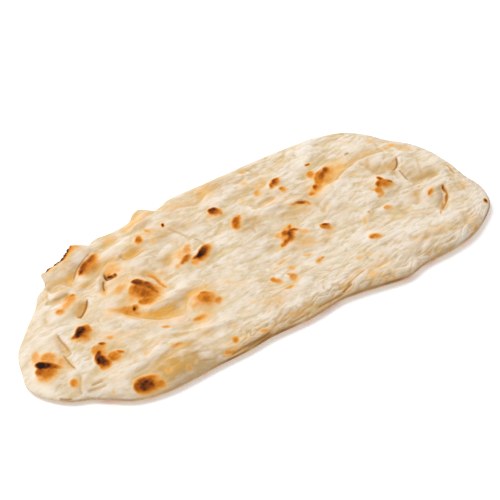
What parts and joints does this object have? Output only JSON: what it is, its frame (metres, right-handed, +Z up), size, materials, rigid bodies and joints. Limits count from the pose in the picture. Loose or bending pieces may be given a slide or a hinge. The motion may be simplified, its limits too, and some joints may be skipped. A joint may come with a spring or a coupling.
{
  "type": "pinsa base",
  "caption": "Long oval flatbread base of baked dough with a creased and blistered top, a rounded edge, one torn and turned-up corner and a flat underside.",
  "frame": {"origin": "on the surface that the bread lies on, under the middle of its box", "axes": "+X along the bread from its left end to its right end, +Y from its front edge to its back edge, +Z up"},
  "size_m": [0.3572, 0.1624, 0.0124],
  "materials": {
    "crust": "baked wheat dough, matt, dusted with flour, with orange-brown to charred blisters"
  },
  "bodies": {
    "root": {"pinsa_base": "crust"}
  },
  "joints": []
}
